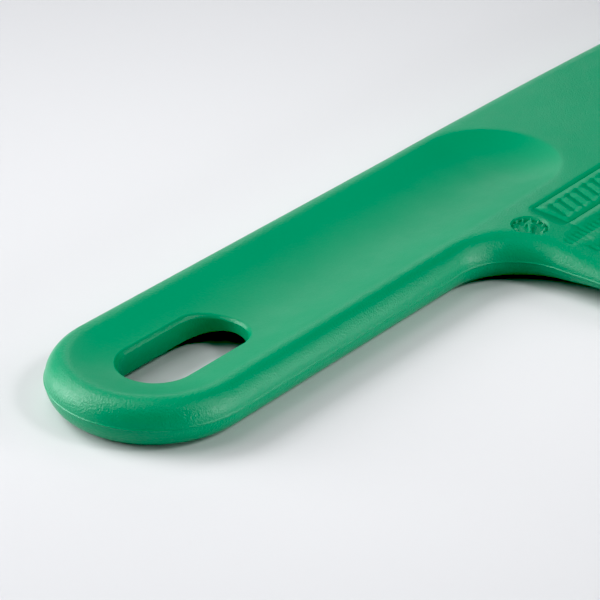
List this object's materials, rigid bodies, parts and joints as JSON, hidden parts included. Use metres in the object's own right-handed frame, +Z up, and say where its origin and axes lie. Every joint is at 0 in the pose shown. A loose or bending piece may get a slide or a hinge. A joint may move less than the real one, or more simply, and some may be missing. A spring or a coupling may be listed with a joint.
{
  "type": "hand spatula",
  "caption": "Flat moulded plastic hand spatula: a scooped handle with a hanging hole and a straight back edge, widening on one side into a broad blade that thins to its edges.",
  "frame": {"origin": "on the underside, on the handle's centre line, in the middle of the flat land between the scoop's end and the start of the blade's taper", "axes": "+X along the handle towards the blade's front, +Y across the handle towards the straight back edge, +Z up out of the upper face"},
  "size_m": [0.2125, 0.075, 0.0084],
  "materials": {
    "green_plastic": "fine leather-grained moulded surface with a satin sheen, smoother in the scoops"
  },
  "bodies": {
    "root": {"spatula_body": "green_plastic"}
  },
  "joints": []
}
